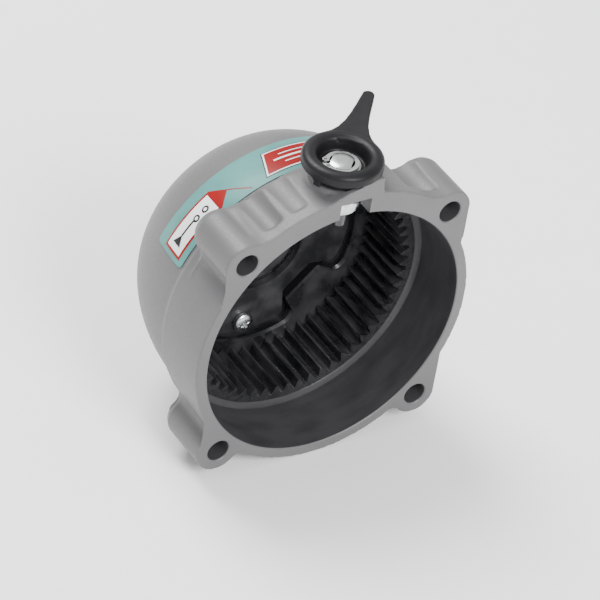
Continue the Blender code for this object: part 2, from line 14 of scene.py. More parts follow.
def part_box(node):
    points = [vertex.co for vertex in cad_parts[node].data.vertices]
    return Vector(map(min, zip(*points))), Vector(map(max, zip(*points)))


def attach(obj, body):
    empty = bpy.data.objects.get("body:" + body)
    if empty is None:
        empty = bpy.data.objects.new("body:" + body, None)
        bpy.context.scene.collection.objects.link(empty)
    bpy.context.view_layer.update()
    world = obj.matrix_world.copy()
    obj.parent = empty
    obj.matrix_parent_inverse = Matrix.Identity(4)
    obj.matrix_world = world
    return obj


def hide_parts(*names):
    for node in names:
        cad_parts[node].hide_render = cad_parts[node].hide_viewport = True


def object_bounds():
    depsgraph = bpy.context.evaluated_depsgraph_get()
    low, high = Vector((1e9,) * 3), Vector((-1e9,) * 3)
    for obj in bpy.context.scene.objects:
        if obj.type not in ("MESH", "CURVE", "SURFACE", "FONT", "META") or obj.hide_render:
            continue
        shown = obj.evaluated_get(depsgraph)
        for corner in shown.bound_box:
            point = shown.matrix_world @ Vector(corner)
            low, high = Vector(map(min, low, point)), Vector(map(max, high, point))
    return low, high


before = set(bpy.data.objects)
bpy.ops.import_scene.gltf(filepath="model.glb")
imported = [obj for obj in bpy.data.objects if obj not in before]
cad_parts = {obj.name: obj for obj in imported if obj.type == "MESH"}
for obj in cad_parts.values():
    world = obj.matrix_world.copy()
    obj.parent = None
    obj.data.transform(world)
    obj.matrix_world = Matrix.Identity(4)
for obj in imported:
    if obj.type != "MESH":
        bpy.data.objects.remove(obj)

CAD_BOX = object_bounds()
MM = 0.001

SHAFT = (0.0, 12.5, 0.0)
PIN = (-0.8, 7.9, 0)
LUG_PITCH = 42.9
DOME = (26.0, 55.1, 29.2, 76.9)          # crown radius, front radius, front depth, full depth
POINTER_ANGLE = math.radians(44.5)
BOLT_HOLE_R = 4.4
CASTING_FILLETS = ((57.1, 4.5), (61.8, 15.0))    # (ring radius, fillet) of the plain lugs, of the crown
PLATE_SCREW_ANGLES = (83.5, 263.5)
PLATE_SCREW_PITCH_R = 32.8
GEAR_TEETH = 58
MM_PER_DEGREE = 0.93                             # along the dome under the label


# ---- mesh helpers -------------------------------------------------------------------------

def to_object(name, form):
    """A new object from a bmesh, with its faces turned outwards."""
    bmesh.ops.recalc_face_normals(form, faces=form.faces)
    mesh = bpy.data.meshes.new(name)
    form.to_mesh(mesh)
    form.free()
    obj = bpy.data.objects.new(name, mesh)
    bpy.context.scene.collection.objects.link(obj)
    return obj


def lathe(name, profile, axis="Z", centre=(0, 0, 0), segments=96, closed=False):
    """Turn (radius, height) points about Z or Y."""
    form = bmesh.new()
    verts = [form.verts.new((r * MM, 0, h * MM)) for r, h in profile]
    edges = [form.edges.new(pair) for pair in zip(verts, verts[1:])]
    if closed:
        edges.append(form.edges.new((verts[-1], verts[0])))
    bmesh.ops.spin(form, geom=verts + edges, cent=(0, 0, 0), axis=(0, 0, 1), angle=2 * math.pi,
                   steps=segments, use_duplicate=False)
    bmesh.ops.remove_doubles(form, verts=form.verts, dist=3e-6)
    if axis == "Y":
        upright = Matrix.Rotation(-math.pi / 2, 3, "X")
        bmesh.ops.rotate(form, cent=(0, 0, 0), matrix=upright, verts=form.verts)
    bmesh.ops.translate(form, vec=Vector(centre) * MM, verts=form.verts)
    return to_object(name, form)


def prism(name, outline, low, high, upright=True, far_outline=None):
    """Extrude an outline between two depths, with a taper if the far outline differs."""
    form = bmesh.new()

    def place(point, height):
        if upright:
            return Vector((point[0], height, point[1])) * MM
        return Vector((point[0], point[1], height)) * MM

    near = [form.verts.new(place(point, low)) for point in outline]
    far = [form.verts.new(place(point, high)) for point in far_outline or outline]
    caps = [form.faces.new(near), form.faces.new(far[::-1])]
    for index in range(len(near)):
        after = (index + 1) % len(near)
        form.faces.new((near[index], near[after], far[after], far[index]))
    bmesh.ops.triangulate(form, faces=caps)
    return to_object(name, form)


def block(name, low, high):
    """A box between two corners."""
    outline = [(low[0], low[2]), (high[0], low[2]), (high[0], high[2]), (low[0], high[2])]
    return prism(name, outline, low[1], high[1])


def bake(obj):
    """Apply an object's modifiers to its mesh."""
    evaluated = obj.evaluated_get(bpy.context.evaluated_depsgraph_get())
    mesh = bpy.data.meshes.new_from_object(evaluated)
    obj.modifiers.clear()
    obj.data = mesh
    obj.data.name = obj.name


def combine(target, operation, *tools):
    """Join tools to the target or cut them from it, and remove them."""
    for tool in tools:
        step = target.modifiers.new(tool.name, "BOOLEAN")
        step.operation = operation
        step.solver = "MANIFOLD"
        step.object = tool
    bake(target)
    for tool in tools:
        bpy.data.objects.remove(tool, do_unlink=True)


def soften(obj, voxel, rounds):
    """Round every edge as a casting has it: a fine voxel remesh, then smoothing."""
    remesh = obj.modifiers.new("remesh", "REMESH")
    remesh.mode = "VOXEL"
    remesh.voxel_size = voxel * MM
    relax = obj.modifiers.new("relax", "SMOOTH")
    relax.factor = 0.5
    relax.iterations = rounds
    bake(obj)


def shade(obj, degrees=35):
    """Smooth shading, with edges sharper than an angle left sharp."""
    obj.data.shade_smooth()
    obj.data.set_sharp_from_angle(angle=math.radians(degrees))


def round_edges(obj, width, segments=2, degrees=40):
    """Small rounded edges on a machined or pressed piece."""
    step = obj.modifiers.new("edges", "BEVEL")
    step.width = width * MM
    step.segments = segments
    step.limit_method = "ANGLE"
    step.angle_limit = math.radians(degrees)
    step.use_clamp_overlap = True
    return step


def turned_about(obj, angle, centre=SHAFT, axis="Z", tilt=0.0):
    """Turn an object's mesh about an upright line, after tilting it about Y."""
    place = Matrix.Translation(Vector(centre) * MM) @ Matrix.Rotation(angle, 4, axis)
    obj.data.transform(place @ Matrix.Rotation(tilt, 4, "Y"))


def arc(centre, radius, start, end, count):
    """Points along an arc, in radians, both ends included."""
    points = []
    for index in range(count + 1):
        angle = start + (end - start) * index / count
        points.append((centre[0] + radius * math.cos(angle), centre[1] + radius * math.sin(angle)))
    return points


# ---- material helpers ---------------------------------------------------------------------

class Nodes:
    """Short calls for building one material's node tree."""

    def __init__(self, name, roughness=0.5, metallic=0.0, coat=0.0, coat_roughness=0.1):
        self.material = bpy.data.materials.new(name)
        self.material.use_nodes = True
        self.tree = self.material.node_tree
        self.shader = self.tree.nodes["Principled BSDF"]
        self.shader.inputs["Roughness"].default_value = roughness
        self.shader.inputs["Metallic"].default_value = metallic
        self.shader.inputs["Coat Weight"].default_value = coat
        self.shader.inputs["Coat Roughness"].default_value = coat_roughness
        self.place = self.tree.nodes.new("ShaderNodeTexCoord").outputs["Object"]
        self.height = None

    def link(self, source, socket):
        if isinstance(source, (int, float)):
            socket.default_value = source
        elif isinstance(source, tuple):
            socket.default_value = (*source, 1.0)
        else:
            self.tree.links.new(source, socket)

    def noise(self, scale, detail=3.0, stretch=None):
        """Noise between 0 and 1, in cycles per metre."""
        node = self.tree.nodes.new("ShaderNodeTexNoise")
        node.inputs["Scale"].default_value = scale
        node.inputs["Detail"].default_value = detail
        place = self.place
        if stretch:
            mapping = self.tree.nodes.new("ShaderNodeMapping")
            mapping.inputs["Scale"].default_value = stretch
            self.link(self.place, mapping.inputs["Vector"])
            place = mapping.outputs["Vector"]
        self.link(place, node.inputs["Vector"])
        return node.outputs["Fac"]

    def ramp(self, value, low, high, to_low=0.0, to_high=1.0):
        node = self.tree.nodes.new("ShaderNodeMapRange")
        self.link(value, node.inputs["Value"])
        node.inputs["From Min"].default_value = low
        node.inputs["From Max"].default_value = high
        node.inputs["To Min"].default_value = to_low
        node.inputs["To Max"].default_value = to_high
        return node.outputs["Result"]

    def math(self, operation, first, second=0.0):
        node = self.tree.nodes.new("ShaderNodeMath")
        node.operation = operation
        self.link(first, node.inputs[0])
        self.link(second, node.inputs[1])
        return node.outputs[0]

    def mix(self, factor, first, second):
        """Mix two colours."""
        node = self.tree.nodes.new("ShaderNodeMix")
        node.data_type = "RGBA"
        self.link(factor, node.inputs[0])
        self.link(first, node.inputs[6])
        self.link(second, node.inputs[7])
        return node.outputs[2]

    def axes(self):
        node = self.tree.nodes.new("ShaderNodeSeparateXYZ")
        self.link(self.place, node.inputs[0])
        return node.outputs

    def bore_radius(self):
        """Distance from the bore's axis, in metres."""
        x, _, z = self.axes()
        total = self.math("ADD", self.math("MULTIPLY", x, x), self.math("MULTIPLY", z, z))
        return self.math("SQRT", total)

    def bump(self, height, strength, distance):
        """Add a bump layer over the ones before it."""
        node = self.tree.nodes.new("ShaderNodeBump")
        node.inputs["Strength"].default_value = strength
        node.inputs["Distance"].default_value = distance * MM
        self.link(height, node.inputs["Height"])
        if self.height:
            self.link(self.height, node.inputs["Normal"])
        self.height = node.outputs["Normal"]

    def done(self, color, roughness=None, metallic=None):
        self.link(color, self.shader.inputs["Base Color"])
        if roughness is not None:
            self.link(roughness, self.shader.inputs["Roughness"])
        if metallic is not None:
            self.link(metallic, self.shader.inputs["Metallic"])
        if self.height:
            self.link(self.height, self.shader.inputs["Normal"])
        return self.material


def cast_paint():
    """Satin grey paint over cast aluminium, dark and greasy inside behind the gear. The bore in front of
    the gear is painted darker, partly its own grease smears and partly painted shade of the deep bore,
    and the bolt hole walls carry a painted shade.
    """
    n = Nodes("cast_paint")
    cloud = n.noise(28, 4)
    grain = n.noise(1400, 3)
    paint = n.mix(n.ramp(cloud, 0.35, 0.65), (0.100, 0.098, 0.102), (0.118, 0.116, 0.119))
    paint = n.mix(n.ramp(grain, 0.45, 0.75, 0.0, 0.25), paint, (0.074, 0.072, 0.076))
    radius = n.bore_radius()
    _, depth, _ = n.axes()
    limit = 53.2 * MM
    for start, step in ((25.3, 2.6), (51.3, 8.1), (55.6, 20.9), (71.5, 21.6)):
        past = n.math("GREATER_THAN", depth, start * MM)
        limit = n.math("SUBTRACT", limit, n.math("MULTIPLY", past, step * MM))
    inside = n.math("LESS_THAN", radius, limit)
    front = n.math("GREATER_THAN", depth, 0.3 * MM)
    bore = n.math("MULTIPLY", inside, front)
    x, _, z = n.axes()
    off = [n.math("SUBTRACT", n.math("ABSOLUTE", value), LUG_PITCH * MM) for value in (x, z)]
    squares = [n.math("MULTIPLY", value, value) for value in off]
    near_hole = n.math("SQRT", n.math("ADD", *squares))
    hole = n.math("MULTIPLY", n.math("LESS_THAN", near_hole, 4.5 * MM), front)
    smear = n.noise(60, 5, (1.0, 3.0, 1.0))
    # painted shade: the bore's wall in front of the gear is painted far darker than the outside paint,
    # standing for the shade inside the bore; the streaky smears in it are real grease
    bore_smear_and_shade = n.mix(n.ramp(smear, 0.4, 0.7), (0.044, 0.043, 0.048), (0.028, 0.027, 0.031))
    behind = n.math("MULTIPLY", bore, n.ramp(depth, 24.6 * MM, 25.4 * MM))
    grease = n.mix(n.ramp(smear, 0.45, 0.6), (0.010, 0.010, 0.012), (0.030, 0.029, 0.033))
    color = n.mix(bore, paint, bore_smear_and_shade)
    # painted shade: the walls of the four bolt holes are painted darker than the paint, standing for the
    # shade inside the holes
    color = n.mix(hole, color, (0.045, 0.044, 0.047))
    color = n.mix(behind, color, grease)
    rough = n.ramp(grain, 0.3, 0.7, 0.44, 0.56)
    wet = n.ramp(smear, 0.4, 0.65, 0.22, 0.42)
    drop = n.math("MULTIPLY", behind, n.math("SUBTRACT", rough, wet))
    n.bump(grain, 0.35, 0.06)
    n.bump(n.noise(260, 2), 0.25, 0.10)
    return n.done(color, n.math("SUBTRACT", rough, drop))


def gear_steel():
    """Dark sintered steel under grease, lighter on the wiped front face."""
    n = Nodes("gear_steel", metallic=0.3, coat=0.8, coat_roughness=0.12)
    _, depth, _ = n.axes()
    smear = n.noise(220, 4, (1.0, 0.35, 1.0))
    grease = n.mix(n.ramp(smear, 0.4, 0.65), (0.020, 0.020, 0.023), (0.060, 0.058, 0.065))
    front = n.math("LESS_THAN", depth, 25.25 * MM)
    wiped = n.mix(n.ramp(n.noise(500, 3), 0.4, 0.7), (0.034, 0.034, 0.037), (0.018, 0.018, 0.021))
    rough = n.ramp(smear, 0.35, 0.7, 0.20, 0.42)
    n.bump(smear, 0.5, 0.15)
    return n.done(n.mix(front, grease, wiped), rough)


def dark_plate():
    """Pressed plate with a black finish, smeared with grease."""
    n = Nodes("dark_plate", metallic=0.3, coat=0.15, coat_roughness=0.35)
    smear = n.noise(110, 5)
    color = n.mix(n.ramp(smear, 0.4, 0.65), (0.010, 0.010, 0.012), (0.045, 0.044, 0.048))
    n.bump(smear, 0.4, 0.15)
    n.bump(n.noise(1800, 2), 0.2, 0.03)
    return n.done(color, n.ramp(smear, 0.35, 0.7, 0.36, 0.56))


def zinc_plate(name="zinc_plate", tone=(0.66, 0.70, 0.69), dull=0.0):
    """Bright zinc plating with faint clouds and scratches."""
    n = Nodes(name, metallic=1.0)
    cloud = n.noise(420, 4)
    fine = n.noise(2600, 2, (1.0, 1.0, 6.0))
    darker = tuple(0.78 * value for value in tone)
    color = n.mix(n.ramp(cloud, 0.4, 0.7), tone, darker)
    n.bump(fine, 0.2, 0.02)
    return n.done(color, n.ramp(cloud, 0.3, 0.7, 0.20 + dull, 0.36 + dull))


def lever_coat():
    """Satin black coat on the cast lever, with a fine grain."""
    n = Nodes("lever_coat")
    n.shader.inputs["Specular IOR Level"].default_value = 0.18
    grain = n.noise(1700, 3)
    cloud = n.noise(90, 3)
    color = n.mix(n.ramp(cloud, 0.35, 0.65), (0.0075, 0.0072, 0.0083), (0.012, 0.0116, 0.0132))
    n.bump(grain, 0.35, 0.05)
    return n.done(color, n.ramp(grain, 0.3, 0.7, 0.36, 0.48))


def bronze_metal():
    """Plain bronze with a faint cloud."""
    n = Nodes("bronze_metal", metallic=1.0)
    cloud = n.noise(300, 3)
    color = n.mix(n.ramp(cloud, 0.35, 0.65), (0.50, 0.33, 0.14), (0.36, 0.23, 0.10))
    n.bump(n.noise(1500, 2), 0.2, 0.03)
    return n.done(color, n.ramp(cloud, 0.3, 0.7, 0.3, 0.45))


def rubber_ring():
    """Matt black rubber."""
    n = Nodes("rubber_ring")
    grain = n.noise(1500, 3)
    color = n.mix(n.ramp(grain, 0.4, 0.7), (0.010, 0.010, 0.010), (0.022, 0.021, 0.021))
    n.bump(grain, 0.3, 0.04)
    return n.done(color, n.ramp(grain, 0.3, 0.7, 0.55, 0.75))


def film(name, color):
    """Printed film: even ink with a faint cloud and a light gloss."""
    n = Nodes(name, coat=0.04, coat_roughness=0.2)
    n.shader.inputs["Specular IOR Level"].default_value = 0.2
    cloud = n.noise(120, 3)
    ink = n.noise(3000, 2)
    darker = tuple(0.90 * value for value in color)
    n.bump(n.noise(180, 2), 0.12, 0.05)
    mixed = n.mix(n.ramp(cloud, 0.4, 0.65), color, darker)
    return n.done(mixed, n.ramp(ink, 0.3, 0.7, 0.32, 0.42))


CAST = cast_paint()
GEAR = gear_steel()
PLATE = dark_plate()
ZINC = zinc_plate()
GREASY_ZINC = zinc_plate("greasy_zinc", (0.42, 0.44, 0.43), 0.08)
BEARING = zinc_plate("bearing_steel", (0.50, 0.51, 0.52), -0.04)
GREASED = zinc_plate("greased_steel", (0.10, 0.10, 0.105), 0.06)
LEVER = lever_coat()
BRONZE = bronze_metal()
RUBBER = rubber_ring()


def finish_piece(obj, material, slot, body, *nodes, degrees=35):
    """Material, shading, body and the CAD nodes that the piece stands for; the record slot argument is
    not used.
    """
    obj.data.materials.clear()
    obj.data.materials.append(material)
    shade(obj, degrees)
    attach(obj, body)
    if nodes:
        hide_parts(*nodes)
    return obj


# ---- casting ------------------------------------------------------------------------------

def lug_side(direction, side, ring_r, fillet, inset):
    """One side of a lug's outline, from the ring to the lug's tip, drawn in by an inset."""
    distance = math.hypot(LUG_PITCH, LUG_PITCH)
    lug_r = 8.7 - inset
    ring_r, fillet = ring_r - inset, fillet + inset
    far = ring_r + fillet
    near = lug_r + fillet
    at_axis = math.acos((far ** 2 + distance ** 2 - near ** 2) / (2 * far * distance))
    at_lug = math.pi - math.acos((near ** 2 + distance ** 2 - far ** 2) / (2 * near * distance))
    angle = direction + side * at_axis
    centre = (far * math.cos(angle), far * math.sin(angle))
    lug = (distance * math.cos(direction), distance * math.sin(direction))
    start = angle + math.pi
    sweep = math.remainder(math.atan2(lug[1] - centre[1], lug[0] - centre[0]) - start, 2 * math.pi)
    points = arc(centre, fillet, start, start + sweep, 10)
    points += arc(lug, lug_r, direction + side * at_lug, direction, 16)[1:]
    return points, at_axis


def flange_outline(inset=0.0):
    """Outline of the front section, with four lugs and the raised crown over the top two."""
    plain, crown = CASTING_FILLETS
    points = []
    for number in range(4):
        direction = math.radians(45 + 90 * number)
        before = crown if number == 1 else plain
        after = crown if number == 0 else plain
        rising, _ = lug_side(direction, -1, *before, inset)
        falling, reach = lug_side(direction, 1, *after, inset)
        points += rising + falling[::-1][1:]
        start = direction + reach
        if number == 0:
            points += arc((0, 0), crown[0] - inset, start, math.pi - start, 40)[1:-1]
        else:
            points += arc((0, 0), 54.0, start, start + math.pi / 2 - 2 * reach, 24)
    return points


def plate_outline(margin):
    """Four-armed outline of the bearing plate's pocket."""
    corner = 5.0
    half, neck, reach = 13.9 + margin, 12.9 + margin * 0.4, 37.1 + margin
    shoulder = math.sqrt((reach - corner) ** 2 - (half - corner) ** 2)
    valley = (25.5 + margin) * math.sqrt(2)
    tip = math.atan2(half - corner, shoulder)
    points = []
    for quarter in range(4):
        turn = Matrix.Rotation(quarter * math.pi / 2, 2)
        side = [(valley - neck, -neck)]
        side += arc((shoulder, -(half - corner)), corner, -math.pi / 2, -tip, 8)
        side += arc((0, 0), reach, -tip, tip, 12)[1:-1]
        side += arc((shoulder, half - corner), corner, tip, math.pi / 2, 8)
        side += [(valley - neck, neck)]
        points += [tuple(turn @ Vector(point)) for point in side]
    return points


def casting():
    """The housing: one soft cast body, then every machined bore, hole and face."""
    crown_r, front_r, front_depth, full_depth = DOME
    profile = [(0, full_depth)]
    for index in range(33):
        angle = math.pi / 2 * (1 - index / 32)
        radius = crown_r + (front_r - crown_r) * math.cos(angle)
        profile.append((radius, front_depth + (full_depth - front_depth) * math.sin(angle)))
    profile += [(55.5, 27.3), (56.5, 27.0), (57.5, 0.0), (0, 0.0)]
    body = lathe("casting", profile, "Y", segments=256)
    section = prism("section", flange_outline(), 0.0, 22.0)
    rear = prism("rear", flange_outline(), 22.0, 25.0, far_outline=flange_outline(1.3))
    ear = [(-12.5, 57), (-11.4, 60.6), (-6.7, 62.7), (-1.7, 64.6), (5.6, 64.6), (5.6, 67.2),
           (11.0, 67.2), (11.7, 57)]
    front = prism("front", ear, 0.0, 4.6)
    boss = lathe("boss", [(0, 63.0), (11.0, 63.0), (11.6, 52), (0, 52)], centre=SHAFT)
    combine(body, "UNION", section, rear, front, boss)
    hollows = []
    for x, z, radius in [(33.3, 57.3, 8.7), (-39.6, 54.4, 3.4), (-32.4, 57.6, 6.0), (-22.9, 65.4, 8.6)]:
        hollow = [(0, 42), (radius + 1.2, 42), (radius, 12), (radius, 5.8), (radius - 0.8, 5.0),
                  (0, 5.0)]
        hollows.append(lathe("hollow", hollow, "Y", (x, 0, z), 64))
    combine(body, "DIFFERENCE", *hollows)
    soften(body, 0.45, 14)

    seat = lathe("seat", [(0, 80), (11.2, 80), (11.2, 63.0), (0, 63.0)], centre=SHAFT)
    cavity = [(0, 71), (16, 71), (16, 67.6), (21.3, 67.6), (21.3, 51), (50.3, 50.3), (50.3, 25.5),
              (50.8, 25), (53.0, 24.4), (53.0, 0.4), (53.5, -0.1), (53.5, -5), (0, -5)]
    bore = lathe("bore", cavity, "Y", segments=256)
    pocket = prism("pocket", plate_outline(3.7), 45, 55.3)
    pocket_edge = prism("pocket_edge", plate_outline(4.7), 50.2, 51.6, far_outline=plate_outline(3.7))
    holes = []
    for x in (-1, 1):
        for z in (-1, 1):
            hole = [(0, 40), (BOLT_HOLE_R, 40), (BOLT_HOLE_R, 0.45), (4.95, -0.1), (4.95, -5), (0, -5)]
            holes.append(lathe("hole", hole, "Y", (x * LUG_PITCH, 0, z * LUG_PITCH), 64))
    for degrees in PLATE_SCREW_ANGLES:
        angle = math.radians(degrees)
        centre = (PLATE_SCREW_PITCH_R * math.cos(angle), 0, PLATE_SCREW_PITCH_R * math.sin(angle))
        holes.append(lathe("hole", [(0, 64), (2.3, 64), (2.3, 50), (0, 50)], "Y", centre, 32))
    slot = block("slot", (-6.4, -5, 46), (6.4, 13.5, 59.4))
    steps = [(0, 70), (8.3, 70), (8.3, 61.2), (7.8, 61.2), (7.8, 59.55), (8.9, 59.55), (8.9, 44),
             (0, 44)]
    shaft_bore = lathe("shaft_bore", steps, centre=SHAFT, segments=72)
    combine(body, "DIFFERENCE", bore, pocket, pocket_edge, seat, slot, shaft_bore, *holes)
    finish_piece(body, CAST, "cast_grey", "housing", "gear_housing", degrees=32)


def gear():
    """Internal gear with rounded roots and tips."""
    pitch = 2 * math.pi / GEAR_TEETH
    flank = [(48.0, 0.0), (48.0, 0.06), (47.75, 0.125), (47.2, 0.185), (46.4, 0.255), (45.4, 0.335),
             (44.75, 0.390), (44.45, 0.435), (44.45, 0.47)]
    space = [(radius, -share) for radius, share in flank[:0:-1]] + flank
    teeth = []
    for index in range(GEAR_TEETH):
        middle = -math.pi / 2 + index * pitch
        for radius, share in space:
            angle = middle + share * pitch
            teeth.append((radius * math.cos(angle), radius * math.sin(angle)))
    blank = [(0, 49.98), (50.26, 49.98), (50.26, 25.02), (0, 25.02)]
    ring = lathe("ring_of_teeth", blank, "Y", segments=192)
    inside = prism("inside", teeth, 20, 55)
    combine(ring, "DIFFERENCE", inside)
    round_edges(ring, 0.22, 2, 50)
    finish_piece(ring, GEAR, "gear_black", "housing", "ring_gear", degrees=40)


# ---- lever and what shows in its well -----------------------------------------------------

def lever():
    """Lever: ring with a deep well, collar, raised pointer with concave flanks, stop tab."""
    crest, half = 12.25, 2.85
    rim = []
    for index in range(17):
        angle = math.pi * (1 - index / 16)
        rim.append((crest + half * math.cos(angle), 70.2 + 2.3 * math.sin(angle)))
    profile = [(0, 66.9), (8.4, 66.9), (8.9, 67.5)] + rim
    profile += [(15.1, 68.0), (14.7, 67.6), (10.6, 67.6), (10.6, 63.3), (0, 63.3)]
    body = lathe("lever_body", profile, centre=SHAFT)
    tip_r = 2.3
    flank = [(9.0, 11.0), (10.5, 9.6), (13.0, 7.5), (16.0, 5.8), (20.0, 4.5), (25.0, 3.6), (31.0, 2.9)]
    outline = [(x, -y) for x, y in flank] + arc((37.7, 0), tip_r, -math.radians(80), math.radians(80), 16)
    pointer = prism("pointer", outline + flank[::-1], 0, 3.4, upright=False)
    round_edges(pointer, 1.35, 4, 60)
    bake(pointer)
    turned_about(pointer, POINTER_ANGLE, (0, SHAFT[1], 68.0), tilt=-math.radians(3))
    well = lathe("well", [(0, 80), (9.4, 80), (9.4, 67.5), (8.9, 66.9), (0, 66.9)], centre=SHAFT)
    combine(pointer, "DIFFERENCE", well)
    tab = block("tab", (12.2, -1.45, 65.2), (14.9, 1.45, 68.6))
    turned_about(tab, math.radians(201))
    combine(body, "UNION", pointer, tab)
    soften(body, 0.28, 7)
    flats = lathe("socket", [(0, 75), (5.3, 75), (5.3, 62), (0, 62)], segments=72)
    for side in (-1, 1):
        low, high = min(side * 4.1, side * 9), max(side * 4.1, side * 9)
        combine(flats, "DIFFERENCE", block("flat", (-10, low, 64.3), (10, high, 76)))
    turned_about(flats, POINTER_ANGLE)
    relief = lathe("relief", [(0, 64.3), (6.3, 64.3), (6.3, 60), (0, 60)], centre=SHAFT)
    combine(body, "DIFFERENCE", flats, relief)
    finish_piece(body, LEVER, "lever_black", "lever", "clutch_lever", degrees=45)


def shaft():
    """Shift shaft: drum, neck, two-flat stem with its groove, and the eccentric pin."""
    profile = [(0, 69.5), (2.0, 69.48), (3.6, 69.35), (4.6, 69.0), (5.0, 68.75), (4.4, 68.75),
               (4.4, 67.95), (5.0, 67.95), (5.0, 64.0), (6.0, 64.0), (6.0, 55.5), (8.0, 55.5),
               (8.36, 55.36), (8.5, 55.0), (8.5, 51.2), (8.36, 50.84), (8.0, 50.7), (0, 50.7)]
    stem = lathe("shift_spindle", profile)
    for side in (-1, 1):
        low, high = min(side * 3.8, side * 9), max(side * 3.8, side * 9)
        combine(stem, "DIFFERENCE", block("flat", (-10, low, 64.0), (10, high, 75)))
    turned_about(stem, POINTER_ANGLE)
    hole = lathe("hole", [(0, 53.8), (2.75, 53.8), (2.75, 45), (0, 45)], centre=PIN, segments=48)
    combine(stem, "DIFFERENCE", hole)
    round_edges(stem, 0.12, 2, 50)
    finish_piece(stem, ZINC, "zinc", "lever", "shift_shaft")
    round_end = [(0, 53.5), (2.6, 53.5), (2.6, 45.4), (2.45, 45.0), (2.0, 44.8), (0, 44.8)]
    pin = lathe("eccentric_pin", round_end, centre=PIN, segments=48)
    finish_piece(pin, GREASED, "zinc", "lever", "shift_pin")


def lever_fittings():
    """Washer and circlip in the lever's well."""
    section = [(5.3, 67.2), (7.0, 67.2), (7.0, 67.75), (5.3, 67.75)]
    washer = lathe("well_washer", section, centre=SHAFT, closed=True)
    round_edges(washer, 0.12, 2, 50)
    finish_piece(washer, GREASY_ZINC, "zinc", "lever", "lever_washer")
    section = [(4.65, 68.0), (6.2, 68.0), (6.2, 68.65), (4.65, 68.65)]
    clip = lathe("retaining_clip", section, centre=SHAFT, closed=True)
    opening, spread = math.radians(163), math.radians(19)
    ears, eyes = [], []
    for side in (-1, 1):
        angle = opening + side * spread
        across = Vector((math.cos(angle), math.sin(angle), 0))
        ears.append(lathe("ear", [(0, 68.65), (1.25, 68.65), (1.25, 68.0), (0, 68.0)],
                          centre=Vector(SHAFT) + across * 5.9, segments=32))
        eyes.append(lathe("eye", [(0, 70), (0.55, 70), (0.55, 67), (0, 67)],
                          centre=Vector(SHAFT) + across * 6.05, segments=24))
    combine(clip, "UNION", *ears)
    mouth = block("mouth", (3.0, -0.7, 67), (9.0, 0.7, 70))
    turned_about(mouth, opening)
    combine(clip, "DIFFERENCE", mouth, *eyes)
    round_edges(clip, 0.08, 2, 50)
    finish_piece(clip, ZINC, "zinc", "lever", "lever_circlip")


# ---- plate screws -------------------------------------------------------------------------

def plate_screw(number):
    """Pan-head screw with a cross recess, in the place of its CAD solid."""
    low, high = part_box(f"plate_screw_{number}")
    x, z = (low[0] + high[0]) / 2 / MM, (low[2] + high[2]) / 2 / MM
    top, seat = 49.5, 51.7
    profile = [(0, 63), (1.4, 63), (2.0, 62.4), (2.0, seat), (4.06, seat), (4.1, seat - 0.9)]
    profile += [(3.8, seat - 1.5), (3.0, top + 0.2), (1.9, top), (0, top)]
    screw = lathe(f"pan_screw_{number}", profile, "Y", segments=48)
    cross = []
    for turn in (0, 90):
        wide, narrow = 2.2, 0.45
        outline = [(-wide, -narrow), (wide, -narrow), (wide, narrow), (-wide, narrow)]
        foot = [(a * 0.45, b * 0.8) for a, b in outline]
        arm = prism("arm", outline, top - 0.3, top + 1.6, far_outline=foot)
        arm.data.transform(Matrix.Rotation(math.radians(turn), 4, "Y"))
        cross.append(arm)
    combine(screw, "DIFFERENCE", *cross)
    screw.data.transform(Matrix.Rotation(math.radians(17 + 23 * number), 4, "Y"))
    screw.data.transform(Matrix.Translation(Vector((x, 0, z)) * MM))
    round_edges(screw, 0.06, 1, 40)
    finish_piece(screw, ZINC, "zinc", "housing", f"plate_screw_{number}")


# ---- label --------------------------------------------------------------------------------

def dome_point(depth, degrees, stand):
    """A point just outside the dome, at a depth and an angle from +X over the top."""
    crown_r, front_r, front_depth, full_depth = DOME
    share = max(0.0, (depth - front_depth) / (full_depth - front_depth))
    radius = crown_r + (front_r - crown_r) * math.sqrt(1 - share ** 2) + stand
    angle = math.radians(degrees)
    return Vector((radius * math.cos(angle), depth, radius * math.sin(angle))) * MM


def frange(low, high, step):
    """Evenly spaced values strictly between two limits."""
    count = max(1, math.ceil((high - low) / step))
    return [low + (high - low) * index / count for index in range(1, count)]


def print_patch(name, outline, stand, material, thickness=0.03):
    """A thin flat shape wrapped on the dome. The outline is in (depth, degrees)."""
    form = bmesh.new()
    face = form.faces.new([form.verts.new((depth, degrees, 0)) for depth, degrees in outline])
    bmesh.ops.triangulate(form, faces=[face])
    bmesh.ops.dissolve_limit(form, angle_limit=0.001, verts=form.verts, edges=form.edges)
    depths = [point[0] for point in outline]
    angles = [point[1] for point in outline]
    cuts = [((value, 0, 0), (1, 0, 0)) for value in frange(min(depths), max(depths), 1.2)]
    cuts += [((0, value, 0), (0, 1, 0)) for value in frange(min(angles), max(angles), 1.5)]
    for place, normal in cuts:
        geometry = form.verts[:] + form.edges[:] + form.faces[:]
        bmesh.ops.bisect_plane(form, geom=geometry, plane_co=place, plane_no=normal)
    for vert in form.verts:
        vert.co = dome_point(vert.co.x, vert.co.y, stand)
    for piece in form.faces:
        piece.normal_update()
        middle = piece.calc_center_median()
        if piece.normal.dot(Vector((middle.x, 0, middle.z))) < 0:
            piece.normal_flip()
    mesh = bpy.data.meshes.new(name)
    form.to_mesh(mesh)
    form.free()
    obj = bpy.data.objects.new(name, mesh)
    bpy.context.scene.collection.objects.link(obj)
    shell = obj.modifiers.new("thickness", "SOLIDIFY")
    shell.thickness = thickness * MM
    shell.offset = 1.0
    bake(obj)
    finish_piece(obj, material, "label_teal", "housing", degrees=60)
    return obj


